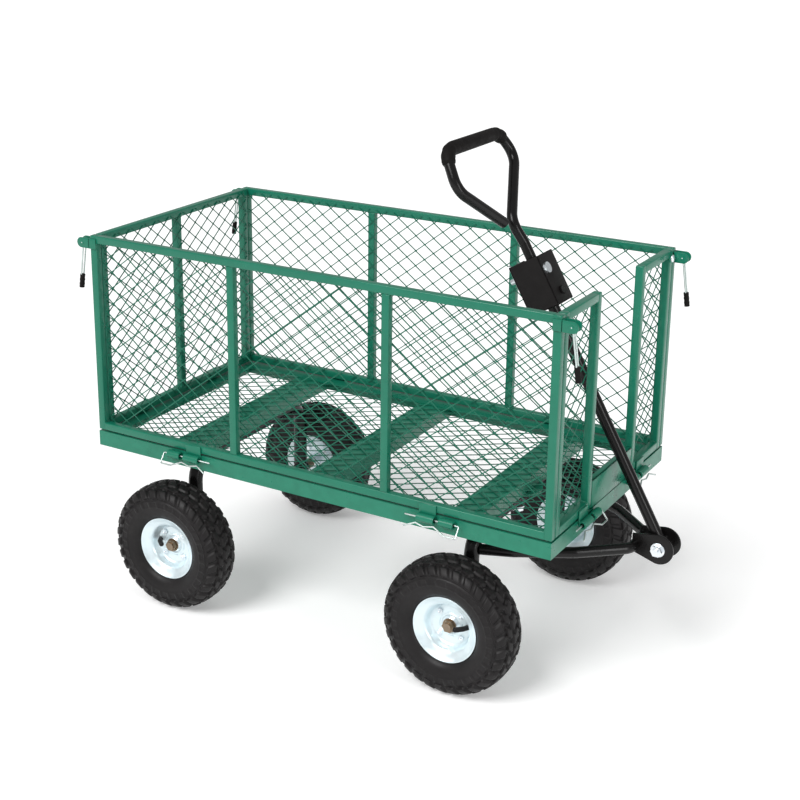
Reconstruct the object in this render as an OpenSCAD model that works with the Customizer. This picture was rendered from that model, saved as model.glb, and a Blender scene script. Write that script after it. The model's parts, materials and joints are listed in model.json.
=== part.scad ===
// Garden cart: a mesh deck on four pneumatic wheels, five folding mesh panels,
// a front axle that steers about a kingpin, and a tow handle with a D grip.
// Millimetres. +X is the handle end, +Y is the left side, +Z is up, z = 0 is the ground.

/* [Deck] */
// Length of the deck frame
deck_l = 976; // [970:1:980]
// Width of the deck frame
deck_w = 512; // [510:1:516]
// Height of the deck's top above the ground
deck_top = 326; // [326:1:330]
// Depth of the deck frame's web
deck_h = 30; // [28:1:32]
// Width of the deck frame's top flange
deck_flange = 37; // [32:1:40]
// Thickness of the deck's steel
deck_t = 3; // [2:0.5:3]
// Width of each cross-member
cross_w = 55; // [50:1:60]
// Distance from the deck's middle to each axle
axle_x = 306; // [304:1:308]

/* [Panels] */
// Side of the square tube
bar = 15; // [14:1:15]
// Gap between the deck's top and the panels' bottom rails
panel_gap = 3.5; // [3:0.5:4]
// Height of the panels' top above the ground
panel_top = 723; // [718:1:728]
// Half of the opening between the two front gates
gate_opening = 92; // [92:1:94]
// Clearance between an end panel and the side panels
panel_clear = 1.5; // [1:0.5:2]
// Distance of a side panel's middle posts from its centre
mid_post_x = 162.7; // [155:0.1:170]
// Thickness of the mesh
mesh_t = 2; // [1.5:0.5:3]
// Width of one diamond of the mesh
mesh_pitch_x = 82; // [80:1:90]
// Height of one diamond of the mesh
mesh_pitch_z = 63; // [60:1:70]
// Half of the vertical width of a mesh strand
mesh_strand = 3.2; // [2.5:0.1:4]

/* [Hinges and latches] */
// Distance of the hinge axes outside the deck's faces
hinge_out = 8.4; // [8.4:0.1:8.8]
// Distance of the hinge axes below the deck's top
hinge_drop = 7; // [6:0.5:8]
// Radius of the hinge barrels
barrel_r = 8; // [7:0.5:8]
// Radius of the clip wire that serves as the hinge pin
clip_r = 1.65; // [1.5:0.05:1.8]
// Distance of each side hinge's clip bend from the centre
side_hinge_x = 316; // [310:1:320]
// Distance of each rear hinge's clip bend from the centre line
rear_hinge_y = 180; // [170:1:190]
// Distance of each gate hinge's clip bend from the centre line
gate_hinge_y = 69; // [67:1:70]
// Height of the latches above the ground
latch_z = 707; // [705:1:708]
// Distance of each latch's pivot beyond the end faces
latch_out = 18; // [17:1:20]

/* [Running gear] */
// Outer radius of the tyres
tyre_r = 127; // [126:1:128]
// Width of the tyres
tyre_w = 84; // [82:1:86]
// Distance of each wheel's middle from the centre line
wheel_y = 257; // [256:1:260]
// Distance of each leg from the centre line
leg_y = 187; // [185:1:189]
// Radius of the axle frames' tube
leg_r = 14; // [13:0.5:15]
// Radius of the stub axles
stub_r = 8; // [7:0.5:8]
// Radius of the kingpin
king_r = 6; // [5:0.5:7]

/* [Handle] */
// Distance of the handle's pivot in front of the centre
pivot_x = 590; // [588:1:592]
// Height of the handle's pivot
pivot_z = 245; // [243:1:247]
// How far the parked handle leans back from the vertical, degrees
handle_lean = 29.5; // [29:0.5:30]
// Length of the lower tube from the pivot
tube_l = 475; // [473:1:477]
// Radius of the lower tube
tube_r = 10.5; // [10:0.5:11]
// Radius of the D handle's tube
d_r = 9.75; // [9:0.25:10]
// Radius of the grip
grip_r = 13; // [12.5:0.5:14]

/* [Hidden] */
$fn = 48;
fit = 0.05;
bend_step = 18;
gap = 0.3;
half_l = deck_l / 2;
half_w = deck_w / 2;
deck_bottom = deck_top - deck_h;
hinge_z = deck_top - hinge_drop;
panel_bottom = deck_top + panel_gap;
panel_h = panel_top - panel_bottom;
end_half = half_w - bar - panel_clear;
ear_reach = 12;
ear_tip_r = 10;
latch_tip = half_l + latch_out + ear_reach;
clevis_r = 28;
clevis_tip = pivot_x + clevis_r;
// The origin is under the middle of the whole cart, so the basket sits a little behind it
basket_x = (latch_tip - clevis_tip) / 2;
panel_drop_z = panel_bottom - hinge_z;

sill_half = gate_opening - 2;
sill_h = 54;
sill_lip = 12;

hub_r = 14;
// A hub reaches further towards the cart than outwards, so its nut sits inside the rim's dish
hub_in = 34;
hub_out = 7;
rim_flange_r = 62.5;
rim_half = 29;
rim_barrel_r = 49;
rim_t = 2.5;
bolt_ring_r = 30;

plate_r = 45;
turntable_top = deck_bottom;
front_u_top = turntable_top - 3.2 - gap - 3;
leg_end = tyre_r - 18;
bend_r = 50;
bow_r = 10;
bow_z = 243;
bow_nose_x = 545;
clevis_y = 21;
clevis_t = 4;
handle_bolt_r = 6;

box_n0 = -33.7;
box_n1 = 28.3;
box_s0 = 469;
box_s1 = 563;
box_half = 30.5;
box_t = 3;
d_pivot_s = 490;
d_bolt_r = 4;
tow_s = 537;
tow_y = -17;
tow_r = 5;
hair_r = 1.2;
hair_n = box_n0 - 6;

bail_y = half_w - 6;
bail_half = 4;
bail_r = 1.5;
stud_y = end_half - bar / 2;

d_bush_r = 8;
d_stem_l = 70;
d_bend = 35;
d_top = 793;
grip_start = 58;
grip_end = -91;
// Corners of the D handle's centre line as [across, along the handle]
d_path = [
    [0, d_pivot_s + d_stem_l - 5], [0, 595], [-10, 636], [104, 744], [84, d_top], [-120, d_top], [-139, 722], [-36, 639]
];

// ---- Shared shapes ----

module in_place() {
    translate([basket_x, 0, 0]) children();
}

// A round bar from one point to another
module rod(a, b, r) {
    v = b - a;
    translate(a) rotate([0, acos(v[2] / norm(v)), atan2(v[1], v[0])]) cylinder(h = norm(v), r = r);
}

function heading(a, b) = atan2(b[1] - a[1], b[0] - a[0]);

// The signed change of heading at b, on the way from a to c
function turn_at(a, b, c) = (heading(b, c) - heading(a, b) + 540) % 360 - 180;

// Rings of a bend at b, each as [x, y, heading]
function bend_rings(a, b, c, bend) =
    let (
        turn = turn_at(a, b, c), h = heading(a, b), side = sign(turn), steps = ceil(abs(turn) / bend_step),
        start = b - bend * tan(abs(turn) / 2) * [cos(h), sin(h)],
        centre = start + side * bend * [-sin(h), cos(h)]
    )
    [
        for (k = [0 : steps])
            let (g = h + turn * k / steps)
            concat(centre + side * bend * [sin(g), -cos(g)], g)
    ];

// A round rod in the XY plane along a line of points, its corners bent to a radius
module bent_rod(points, bend, r, sides) {
    last = len(points) - 1;
    rings = concat(
        [concat(points[0], heading(points[0], points[1]))],
        [for (i = [1 : last - 1]) each bend_rings(points[i - 1], points[i], points[i + 1], bend)],
        [concat(points[last], heading(points[last - 1], points[last]))]
    );
    count = len(rings);
    corners = [
        for (q = rings, k = [0 : sides - 1])
            let (a = 360 * k / sides)
            [q[0] - r * cos(a) * sin(q[2]), q[1] + r * cos(a) * cos(q[2]), r * sin(a)]
    ];
    walls = [
        for (i = [0 : count - 2], k = [0 : sides - 1])
            let (n = (k + 1) % sides)
            [i * sides + k, (i + 1) * sides + k, (i + 1) * sides + n, i * sides + n]
    ];
    low_cap = [for (k = [0 : sides - 1]) k];
    high_cap = [for (k = [sides - 1 : -1 : 0]) (count - 1) * sides + k];
    polyhedron(corners, concat([low_cap], walls, [high_cap]));
}

// A cylinder along Y, from y0 to y1
module rod_y(y0, y1, r) {
    translate([0, y0, 0]) rotate([-90, 0, 0]) cylinder(h = y1 - y0, r = r);
}

// A cylinder along X, from x0 to x1
module rod_x(x0, x1, r) {
    translate([x0, 0, 0]) rotate([0, 90, 0]) cylinder(h = x1 - x0, r = r);
}

// A block given by its low and high corners
module block(a, b) {
    translate(a) cube(b - a);
}

// A flat sheet of diamond mesh with a plain edge, centred, in the XY plane
module mesh_sheet(w, h) {
    edge = 5;
    cols = ceil(w / mesh_pitch_x / 2);
    rows = ceil(h / mesh_pitch_z / 2);
    dx = mesh_pitch_x / 2 - mesh_strand * mesh_pitch_x / mesh_pitch_z;
    dz = mesh_pitch_z / 2 - mesh_strand;
    linear_extrude(mesh_t) difference() {
        square([w, h], center = true);
        intersection() {
            square([w - 2 * edge, h - 2 * edge], center = true);
            for (shift = [0, 0.5], i = [-cols : cols], j = [-rows : rows])
                translate([(i + shift) * mesh_pitch_x, (j + shift) * mesh_pitch_z])
                    polygon([[-dx, 0], [0, dz], [dx, 0], [0, -dz]]);
        }
    }
}

// Puts a hinge part on an edge of the deck: local X runs along the hinge from the
// clip's bend, local Y points away from the deck, and the hinge axis is local X
module at_hinge(edge, pos) {
    out_y = half_w + hinge_out;
    out_x = half_l + hinge_out;
    if (edge == "right")
        translate([pos, -out_y, hinge_z]) mirror([0, 1, 0]) mirror([pos > 0 ? 1 : 0, 0, 0]) children();
    if (edge == "left")
        translate([pos, out_y, hinge_z]) mirror([pos > 0 ? 1 : 0, 0, 0]) children();
    if (edge == "front")
        translate([out_x, pos, hinge_z]) rotate([0, 0, -90]) mirror([pos > 0 ? 1 : 0, 0, 0]) children();
    if (edge == "rear")
        translate([-out_x, pos, hinge_z]) rotate([0, 0, 90]) mirror([pos > 0 ? 1 : 0, 0, 0]) children();
}

module at_every_hinge() {
    for (s = [-1, 1]) {
        at_hinge("right", s * side_hinge_x) children();
        at_hinge("left", s * side_hinge_x) children();
        at_hinge("rear", s * rear_hinge_y) children();
        at_hinge("front", s * gate_hinge_y) children();
    }
}

// The half of a hinge that is welded to the deck
module deck_knuckle() {
    difference() {
        union() {
            rod_x(7, 35, barrel_r);
            block([7, -hinge_out, -barrel_r], [35, 0, 0]);
        }
        rod_x(0, 40, clip_r + fit);
    }
}

// The half of a hinge that is welded to a panel's bottom rail
module panel_knuckle() {
    leaf_in = -hinge_out + gap;
    difference() {
        union() {
            rod_x(45, 79, barrel_r - gap / 2);
            block([45, leaf_in, 0], [79, -4.8, 25]);
            block([45, -hinge_out - 0.2, panel_drop_z + 2], [79, -4.8, 25]);
        }
        rod_x(40, 84, clip_r + fit);
    }
}

// The spring clip whose straight leg is the hinge pin; its wavy leg passes below the barrels
module hinge_clip() {
    rod_x(5, 103, clip_r);
    rotate([-60, 0, 0]) bent_rod(
        [[6, 0], [-3, 0], [-3, 22], [20, 22], [43, 11], [61, 15], [79, 11], [99, 21]], 5, clip_r - 0.1, 8
    );
}

// ---- Deck and chassis ----

module deck_frame() in_place() color("seagreen") difference() {
    block([-half_l, -half_w, deck_bottom], [half_l, half_w, deck_top]);
    block([deck_t - half_l, deck_t - half_w, deck_bottom - 1], [half_l - deck_t, half_w - deck_t, deck_top - deck_t]);
    block(
        [deck_flange - half_l, deck_flange - half_w, deck_bottom - 1],
        [half_l - deck_flange, half_w - deck_flange, deck_top + 1]
    );
}

module deck_cross_members() in_place() color("seagreen") for (x = [-axle_x, 0, axle_x]) difference() {
    block([x - cross_w / 2, deck_t - half_w, deck_bottom], [x + cross_w / 2, half_w - deck_t, deck_top - deck_t]);
    block(
        [x - cross_w / 2 + deck_t, -half_w, deck_bottom - 1],
        [x + cross_w / 2 - deck_t, half_w, deck_top - 2 * deck_t]
    );
}

module deck_mesh() in_place() color("seagreen")
    translate([0, 0, deck_top - deck_t]) mesh_sheet(deck_l - 2 * deck_flange - 1, deck_w - 2 * deck_flange - 1);

module deck_hinge_knuckles() in_place() color("seagreen") at_every_hinge() deck_knuckle();

module hinge_clips() in_place() color("silver") at_every_hinge() hinge_clip();

module front_sill() in_place() color("seagreen") {
    block([half_l - deck_t, -sill_half, deck_top], [half_l, sill_half, deck_top + sill_h]);
    block([half_l - sill_lip, -sill_half, deck_top + sill_h - deck_t], [half_l, sill_half, deck_top + sill_h]);
    block([half_l - 18, -sill_half, deck_top], [half_l, sill_half, deck_top + deck_t]);
}

// ---- Axles ----

// A tube bent to an upside-down U, with a socket for a stub axle on each leg
module axle_u(top) {
    bar_z = top - leg_r;
    bend_y = leg_y - bend_r;
    difference() {
        union() {
            for (s = [0, 1]) mirror([0, s, 0]) {
                translate([0, leg_y, leg_end]) cylinder(h = bar_z - bend_r - leg_end, r = leg_r);
                translate([0, bend_y, bar_z - bend_r]) rotate([90, 0, 90])
                    rotate_extrude(angle = 90) translate([bend_r, 0]) circle(r = leg_r);
                translate([0, 0, tyre_r]) rod_y(leg_y - 15, leg_y + 16, 12);
            }
            translate([0, 0, bar_z]) rod_y(-bend_y, bend_y, leg_r);
            children();
        }
        for (s = [0, 1]) mirror([0, s, 0]) translate([0, 0, tyre_r]) rod_y(leg_y - 20, leg_y + 20, stub_r);
    }
}

module stub_axles(x) translate([x, 0, tyre_r]) for (s = [0, 1]) mirror([0, s, 0])
    rod_y(leg_y - 15, wheel_y + hub_out + 12, stub_r);

// Inner spacer, outer washer and nut of each wheel
module axle_nuts(x) translate([x, 0, tyre_r]) for (s = [0, 1]) mirror([0, s, 0]) {
    hub_end = wheel_y + hub_out + gap;
    difference() {
        union() {
            rod_y(leg_y + 16, wheel_y - hub_in - gap, 11);
            rod_y(hub_end, hub_end + 2, 13);
            translate([0, hub_end + 2, 0]) rotate([-90, 0, 0]) cylinder(h = 7, r = 11.5, $fn = 6);
        }
        rod_y(leg_y, wheel_y + hub_out + 20, stub_r);
    }
}

module rear_axle_frame() in_place() color("black") translate([-axle_x, 0, 0]) axle_u(deck_bottom);

module rear_stub_axles() in_place() color("silver") stub_axles(-axle_x);

module rear_axle_nuts() in_place() color("goldenrod") axle_nuts(-axle_x);

module front_axle_frame() in_place() color("black") translate([axle_x, 0, 0]) difference() {
    axle_u(front_u_top) translate([0, 0, front_u_top - 32]) cylinder(h = 32, r = 13);
    translate([0, 0, front_u_top - 60]) cylinder(h = 80, r = king_r + fit);
}

module front_stub_axles() in_place() color("silver") stub_axles(axle_x);

module front_axle_nuts() in_place() color("goldenrod") axle_nuts(axle_x);

module turntable_lower_plate() in_place() color("black") translate([axle_x, 0, front_u_top]) difference() {
    cylinder(h = 3, r = plate_r);
    translate([0, 0, -1]) cylinder(h = 6, r = king_r + fit);
}

module turntable_upper_plate() in_place() color("seagreen") translate([axle_x, 0, turntable_top - 3.2]) difference() {
    cylinder(h = 3.2, r = plate_r);
    translate([0, 0, -1]) cylinder(h = 6, r = king_r);
}

module kingpin() in_place() color("silver") translate([axle_x, 0, 0]) {
    nut_top = front_u_top - 32 - gap;
    translate([0, 0, nut_top - 12]) cylinder(h = turntable_top - nut_top + 12, r = king_r);
    translate([0, 0, turntable_top]) cylinder(h = 7, r = 11, $fn = 6);
    translate([0, 0, nut_top - 2]) cylinder(h = 2, r = 13);
    translate([0, 0, nut_top - 10]) cylinder(h = 8, r = 11, $fn = 6);
}

// ---- Tongue ----

module tongue_bow() in_place() color("black") difference() {
    half = [[axle_x, leg_y], [372, 160], [468, 104], [bow_nose_x, 36]];
    translate([0, 0, bow_z])
        bent_rod(concat(half, [for (i = [3 : -1 : 0]) [half[i][0], -half[i][1]]]), 25, bow_r, 20);
    for (s = [-1, 1]) translate([axle_x, s * leg_y, bow_z - 40]) cylinder(h = 80, r = leg_r);
}

module tongue_clevis() in_place() color("black") difference() {
    for (y = [-clevis_y, clevis_y - clevis_t]) translate([0, y + clevis_t, 0]) rotate([90, 0, 0]) linear_extrude(clevis_t) {
        translate([pivot_x, pivot_z]) circle(r = clevis_r);
        polygon([
            [bow_nose_x - 4, 231], [pivot_x, pivot_z - clevis_r], [pivot_x, pivot_z + clevis_r],
            [bow_nose_x - 4, 266]
        ]);
    }
    translate([bow_nose_x, 0, bow_z]) rod_y(-25, 25, bow_r);
    translate([pivot_x, 0, pivot_z]) rod_y(-30, 30, handle_bolt_r);
}

module handle_bolt() in_place() color("silver") translate([pivot_x, 0, pivot_z]) {
    rod_y(-36, clevis_y, handle_bolt_r);
    translate([0, clevis_y, 0]) rotate([-90, 0, 0]) cylinder(h = 7, r = 10.5, $fn = 6);
    translate([0, -clevis_y - 2, 0]) rod_y(0, 2, 13);
    translate([0, -clevis_y - 11, 0]) rotate([-90, 0, 0]) cylinder(h = 9, r = 10.5, $fn = 6);
}

// ---- Handle ----

// Local Z runs up the parked handle from its pivot, local X points forward from it
module at_handle() {
    in_place() translate([pivot_x, 0, pivot_z]) rotate([0, -handle_lean, 0]) children();
}

module handle_tube() color("black") at_handle() difference() {
    union() {
        rod_y(gap + clevis_t - clevis_y, clevis_y - clevis_t - gap, 14);
        cylinder(h = tube_l, r = tube_r);
    }
    rod_y(-30, 30, handle_bolt_r + fit);
}

module hitch_box() color("dimgray") at_handle() difference() {
    union() {
        block([box_n0, -box_half, box_s0], [box_n1, box_t - box_half, box_s1]);
        block([box_n0, -box_half, box_s0], [box_n0 + box_t, box_half, box_s1]);
        block([box_n1 - box_t, -box_half, box_s0], [box_n1, box_half, box_s1]);
        block([box_n0, -box_half, box_s0], [box_n1, box_half, box_s0 + box_t]);
    }
    cylinder(h = tube_l, r = tube_r);
    translate([0, 0, d_pivot_s]) rod_x(-50, 50, d_bolt_r);
    translate([0, tow_y, tow_s]) rod_x(-50, 50, tow_r + fit);
}

module tow_pin() color("silver") at_handle() translate([0, tow_y, tow_s]) difference() {
    union() {
        rod_x(box_n0 - 13, box_n1, tow_r);
        rod_x(box_n1, box_n1 + 5, 10);
    }
    translate([hair_n, 0, -20]) cylinder(h = 40, r = hair_r + fit);
}

// Turns a shape drawn in the XY plane so that its X is across the handle and its Y is along it
module across_handle() rotate([90, 0, 90]) children();

module tow_pin_clip() color("silver") at_handle() translate([hair_n, tow_y, tow_s]) across_handle()
    bent_rod([[0, -18], [0, 28], [8, 28], [5, 9], [8, 0], [5, -9], [9, -19]], 3, hair_r, 8);

module d_handle_tube() color("black") at_handle() difference() {
    union() {
        translate([0, 0, d_pivot_s]) cylinder(h = d_stem_l, r = d_r);
        across_handle() bent_rod(d_path, d_bend, d_r - 0.1, 20);
        translate([0, 0, d_pivot_s]) rod_x(box_n0 + box_t + gap, box_n1 - box_t - gap, d_bush_r);
    }
    translate([0, 0, d_pivot_s]) rod_x(-50, 50, d_bolt_r + fit);
}

module d_handle_grip() color("dimgray") at_handle() across_handle() difference() {
    rod([grip_end, d_top, 0], [grip_start, d_top, 0], grip_r);
    rod([grip_end - 1, d_top, 0], [grip_start + 1, d_top, 0], d_r);
}

module d_handle_bolt() color("silver") at_handle() translate([0, 0, d_pivot_s]) {
    rod_x(box_n0 - 9, box_n1, d_bolt_r);
    translate([box_n1, 0, 0]) rotate([0, 90, 0]) cylinder(h = 5, r = 7.5, $fn = 6);
    translate([box_n0 - 7, 0, 0]) rotate([0, 90, 0]) cylinder(h = 7, r = 7.5, $fn = 6);
}

// ---- Panels ----

// An upright frame of square tube in the XZ plane, from x0 to x1, with extra posts
module panel_bars(x0, x1, posts) {
    block([x0, 0, panel_bottom], [x1, bar, panel_bottom + bar]);
    block([x0, 0, panel_top - bar], [x1, bar, panel_top]);
    for (x = concat([x0 + bar / 2, x1 - bar / 2], posts))
        block([x - bar / 2, 0, panel_bottom], [x + bar / 2, bar, panel_top]);
}

// The two ears that carry a latch, on the +X end of a side panel in the XZ plane
module latch_ears() {
    ear_t = 2.5;
    foot_z = latch_z - 10;
    for (y = [-2.5, bar - 0.5 - ear_t]) difference() {
        translate([0, y + ear_t, 0]) rotate([90, 0, 0]) linear_extrude(ear_t) {
            translate([half_l, foot_z]) square([latch_out + ear_reach - ear_tip_r, 20]);
            translate([latch_tip - ear_tip_r, latch_z]) circle(r = ear_tip_r);
        }
        translate([half_l + latch_out, 0, latch_z]) rod_y(-10, 30, bail_r + fit);
    }
    block([half_l, -2.5, foot_z], [half_l + ear_t, bar - 0.5, foot_z + 20]);
}

// Drawn for the right side, with its outer face at y = -half_w
module side_panel_frame() {
    translate([0, -half_w, 0]) {
        panel_bars(-half_l, half_l, [-mid_post_x, mid_post_x]);
        for (s = [0, 1]) mirror([s, 0, 0]) latch_ears();
    }
    for (s = [-1, 1]) at_hinge("right", s * side_hinge_x) panel_knuckle();
}

module side_panel_mesh() translate([0, bar - half_w + mesh_t, (panel_bottom + panel_top) / 2])
    rotate([90, 0, 0]) mesh_sheet(deck_l - 2 * bar - 6, panel_h - bar);

module right_panel_frame() in_place() color("seagreen") side_panel_frame();

module right_panel_mesh() in_place() color("seagreen") side_panel_mesh();

module left_panel_frame() in_place() color("seagreen") mirror([0, 1, 0]) side_panel_frame();

module left_panel_mesh() in_place() color("seagreen") mirror([0, 1, 0]) side_panel_mesh();

// Turns a panel drawn in the XZ plane, outer face at y = 0, into an end panel
module at_front() translate([half_l, 0, 0]) rotate([0, 0, 90]) children();

module at_rear() translate([-half_l, 0, 0]) mirror([1, 0, 0]) rotate([0, 0, 90]) children();

// The round tab and the hole that hold a latch stud, at x along an end panel
module stud_tab(x) {
    translate([x, -2, latch_z]) rod_y(0, 2.5, 9);
}

module stud_hole(x) {
    translate([x, 0, latch_z]) rod_y(-5, bar + 1, 3);
}

module stud(x) translate([x, 0, latch_z]) {
    rod_y(-2, bar - 2, 3);
    rod_y(-7, -2, 7);
}

module rear_panel_frame() in_place() color("seagreen") {
    at_rear() difference() {
        union() {
            panel_bars(-end_half, end_half, [0]);
            for (s = [-1, 1]) stud_tab(s * stud_y);
        }
        for (s = [-1, 1]) stud_hole(s * stud_y);
    }
    for (s = [-1, 1]) at_hinge("rear", s * rear_hinge_y) panel_knuckle();
}

module rear_panel_mesh() in_place() color("seagreen") at_rear()
    translate([0, bar + mesh_t, (panel_bottom + panel_top) / 2])
        rotate([90, 0, 0]) mesh_sheet(2 * end_half - bar, panel_h - bar);

module rear_panel_studs() in_place() color("silver") at_rear() for (s = [-1, 1]) stud(s * stud_y);

// Drawn for the left side, which is +Y
module gate_frame() {
    at_front() difference() {
        union() {
            panel_bars(gate_opening, end_half, []);
            stud_tab(stud_y);
        }
        stud_hole(stud_y);
    }
    at_hinge("front", gate_hinge_y) panel_knuckle();
}

module gate_mesh() at_front() translate([(gate_opening + end_half) / 2, bar + mesh_t, (panel_bottom + panel_top) / 2])
    rotate([90, 0, 0]) mesh_sheet(end_half - gate_opening - bar / 2, panel_h - bar);

module left_gate_frame() in_place() color("seagreen") gate_frame();

module left_gate_mesh() in_place() color("seagreen") gate_mesh();

module left_gate_stud() in_place() color("silver") at_front() stud(stud_y);

module right_gate_frame() in_place() color("seagreen") mirror([0, 1, 0]) gate_frame();

module right_gate_mesh() in_place() color("seagreen") mirror([0, 1, 0]) gate_mesh();

module right_gate_stud() in_place() color("silver") mirror([0, 1, 0]) at_front() stud(stud_y);

// A wire bail with a sleeve at its end, drawn for the front left corner
module latch_bail(front, left) in_place() color("silver")
    mirror([front ? 0 : 1, 0, 0]) mirror([0, left ? 0 : 1, 0])
        translate([half_l + latch_out, bail_y, latch_z]) {
            rod_y(-8.5, 8.5, bail_r);
            for (s = [-1, 1]) rod([0, s * bail_half, 0], [10, s * (bail_half - 0.6), -68], bail_r);
            rod([9.4, 0, -66], [13, 0, -92], 5.4);
        }

// ---- Wheels ----

// Puts a wheel, drawn at the origin with its outer side towards +Y, on a corner
module at_wheel(front, left) {
    in_place() translate([front ? axle_x : -axle_x, left ? wheel_y : -wheel_y, tyre_r])
        mirror([0, left ? 0 : 1, 0]) children();
}

// Turns a profile of [radius, distance outwards] about the wheel's axle
module turned(points) rotate([-90, 0, 0]) rotate_extrude() polygon(points);

module tyre(front, left) color("black") at_wheel(front, left) {
    w = tyre_w / 2;
    outer = [
        [rim_barrel_r, 26.4], [rim_flange_r + 0.4, 26.4], [66, 33], [78, w - 2], [92, w], [108, w - 1],
        [118, w - 5], [tyre_r - 2.5, w - 14], [tyre_r, w - 30]
    ];
    inner = [[rim_barrel_r, 21], [60, 21], [67, 28], [80, w - 7], [92, w - 5], [106, w - 6], [114, w - 12], [119, 0]];
    turned(concat(
        outer, [for (i = [len(outer) - 1 : -1 : 0]) [outer[i][0], -outer[i][1]]],
        [for (p = inner) [p[0], -p[1]]], [for (i = [len(inner) - 2 : -1 : 0]) inner[i]]
    ));
    translate([front != left ? 38 : -38, 0, 0]) rod_y(rim_t, 24, 3.5);
}

module rim(front, left) color("silver") at_wheel(front, left) for (s = [0, 1]) mirror([0, s, 0]) difference() {
    turned([
        [hub_r, 0], [rim_barrel_r, 0], [rim_barrel_r, rim_half - rim_t], [rim_flange_r, rim_half - rim_t],
        [rim_flange_r, rim_half], [rim_barrel_r - rim_t, rim_half], [rim_barrel_r - rim_t, rim_t], [hub_r, rim_t]
    ]);
    for (a = [45 : 90 : 315]) rotate([0, a, 0]) translate([bolt_ring_r, 0, 0]) rod_y(-1, 5, 3);
}

module hub(front, left) color("silver") at_wheel(front, left) difference() {
    rod_y(-hub_in, hub_out, hub_r);
    rod_y(-hub_in - 1, hub_out + 1, stub_r + fit);
}

module rim_bolts(front, left) color("silver") at_wheel(front, left) for (a = [45 : 90 : 315])
    rotate([0, a, 0]) translate([bolt_ring_r, 0, 0]) {
        rod_y(-rim_t, rim_t, 3);
        translate([0, rim_t, 0]) rotate([-90, 0, 0]) cylinder(h = 4, r = 5.5, $fn = 6);
        translate([0, -rim_t - 5, 0]) rotate([-90, 0, 0]) cylinder(h = 5, r = 5.5, $fn = 6);
    }

deck_frame();
deck_cross_members();
deck_mesh();
deck_hinge_knuckles();
front_sill();
rear_axle_frame();
turntable_upper_plate();
kingpin();
rear_stub_axles();
rear_axle_nuts();
hinge_clips();
front_axle_frame();
turntable_lower_plate();
tongue_bow();
tongue_clevis();
front_stub_axles();
front_axle_nuts();
handle_bolt();
handle_tube();
hitch_box();
tow_pin();
tow_pin_clip();
d_handle_tube();
d_handle_grip();
d_handle_bolt();
right_panel_frame();
right_panel_mesh();
left_panel_frame();
left_panel_mesh();
rear_panel_frame();
rear_panel_mesh();
rear_panel_studs();
right_gate_frame();
right_gate_mesh();
right_gate_stud();
left_gate_frame();
left_gate_mesh();
left_gate_stud();
latch_bail(true, false);  // front_right_latch_bail
latch_bail(true, true);  // front_left_latch_bail
latch_bail(false, false);  // rear_right_latch_bail
latch_bail(false, true);  // rear_left_latch_bail
tyre(true, false);  // front_right_tyre
tyre(true, true);  // front_left_tyre
tyre(false, false);  // rear_right_tyre
tyre(false, true);  // rear_left_tyre
rim(true, false);  // front_right_rim
rim(true, true);  // front_left_rim
rim(false, false);  // rear_right_rim
rim(false, true);  // rear_left_rim
hub(true, false);  // front_right_hub
hub(true, true);  // front_left_hub
hub(false, false);  // rear_right_hub
hub(false, true);  // rear_left_hub
rim_bolts(true, false);  // front_right_rim_bolts
rim_bolts(true, true);  // front_left_rim_bolts
rim_bolts(false, false);  // rear_right_rim_bolts
rim_bolts(false, true);  // rear_left_rim_bolts
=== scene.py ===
"""The looks of the garden cart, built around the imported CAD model."""

import json
import math
import random

import bmesh
import bpy
from mathutils import Matrix, Vector


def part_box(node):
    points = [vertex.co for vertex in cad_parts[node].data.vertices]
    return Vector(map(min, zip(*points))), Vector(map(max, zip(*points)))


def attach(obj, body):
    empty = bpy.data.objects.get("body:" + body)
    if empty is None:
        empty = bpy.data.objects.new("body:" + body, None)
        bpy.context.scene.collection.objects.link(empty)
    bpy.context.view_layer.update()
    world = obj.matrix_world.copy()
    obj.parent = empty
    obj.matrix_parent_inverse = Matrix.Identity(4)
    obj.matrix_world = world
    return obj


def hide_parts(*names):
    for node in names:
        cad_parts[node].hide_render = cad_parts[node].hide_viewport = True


MM = 0.001

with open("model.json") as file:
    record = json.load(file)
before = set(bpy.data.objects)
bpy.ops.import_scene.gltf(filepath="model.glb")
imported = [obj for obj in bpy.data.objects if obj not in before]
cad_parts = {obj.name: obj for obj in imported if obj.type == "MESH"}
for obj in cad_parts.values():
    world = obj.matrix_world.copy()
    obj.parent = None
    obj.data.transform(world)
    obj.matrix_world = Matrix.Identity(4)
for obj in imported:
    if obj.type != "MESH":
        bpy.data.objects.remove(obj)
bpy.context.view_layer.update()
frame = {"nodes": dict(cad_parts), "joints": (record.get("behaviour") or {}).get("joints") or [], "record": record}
nodes = frame["nodes"]
joints = {j["name"]: j for j in frame["joints"]}


# ---- Places taken from the frame, and sizes that several pieces share ----

def joint_place(name):
    """A point on a joint's axis."""
    return Vector(joints[name]["pos_m"])


deck_low, deck_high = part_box("deck_frame")
BASKET_X = (deck_low.x + deck_high.x) / 2
HALF_L = (deck_high.x - deck_low.x) / 2
HALF_W = (deck_high.y - deck_low.y) / 2
DECK_TOP = deck_high.z
DECK_FLANGE = 37 * MM
BAR = 15 * MM
PANEL_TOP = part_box("rear_panel_frame")[1].z
PANEL_BOTTOM = DECK_TOP + 3.5 * MM
MESH_T = 1.3 * MM
HINGE_Z = joint_place("right_panel_fold").z
HINGE_OUT = -joint_place("right_panel_fold").y - HALF_W
LATCH_Z = joint_place("front_right_bail_swing").z
LATCH_OUT = joint_place("front_right_bail_swing").x - BASKET_X - HALF_L
AXLE_X = joint_place("front_right_wheel_spin").x - BASKET_X
AXLE_Z = joint_place("front_right_wheel_spin").z
PIVOT = joint_place("handle_pitch")
LEAN = math.radians(29.5)
CORNERS = ("front_right", "front_left", "rear_right", "rear_left")


# ---- Materials ----

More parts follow.
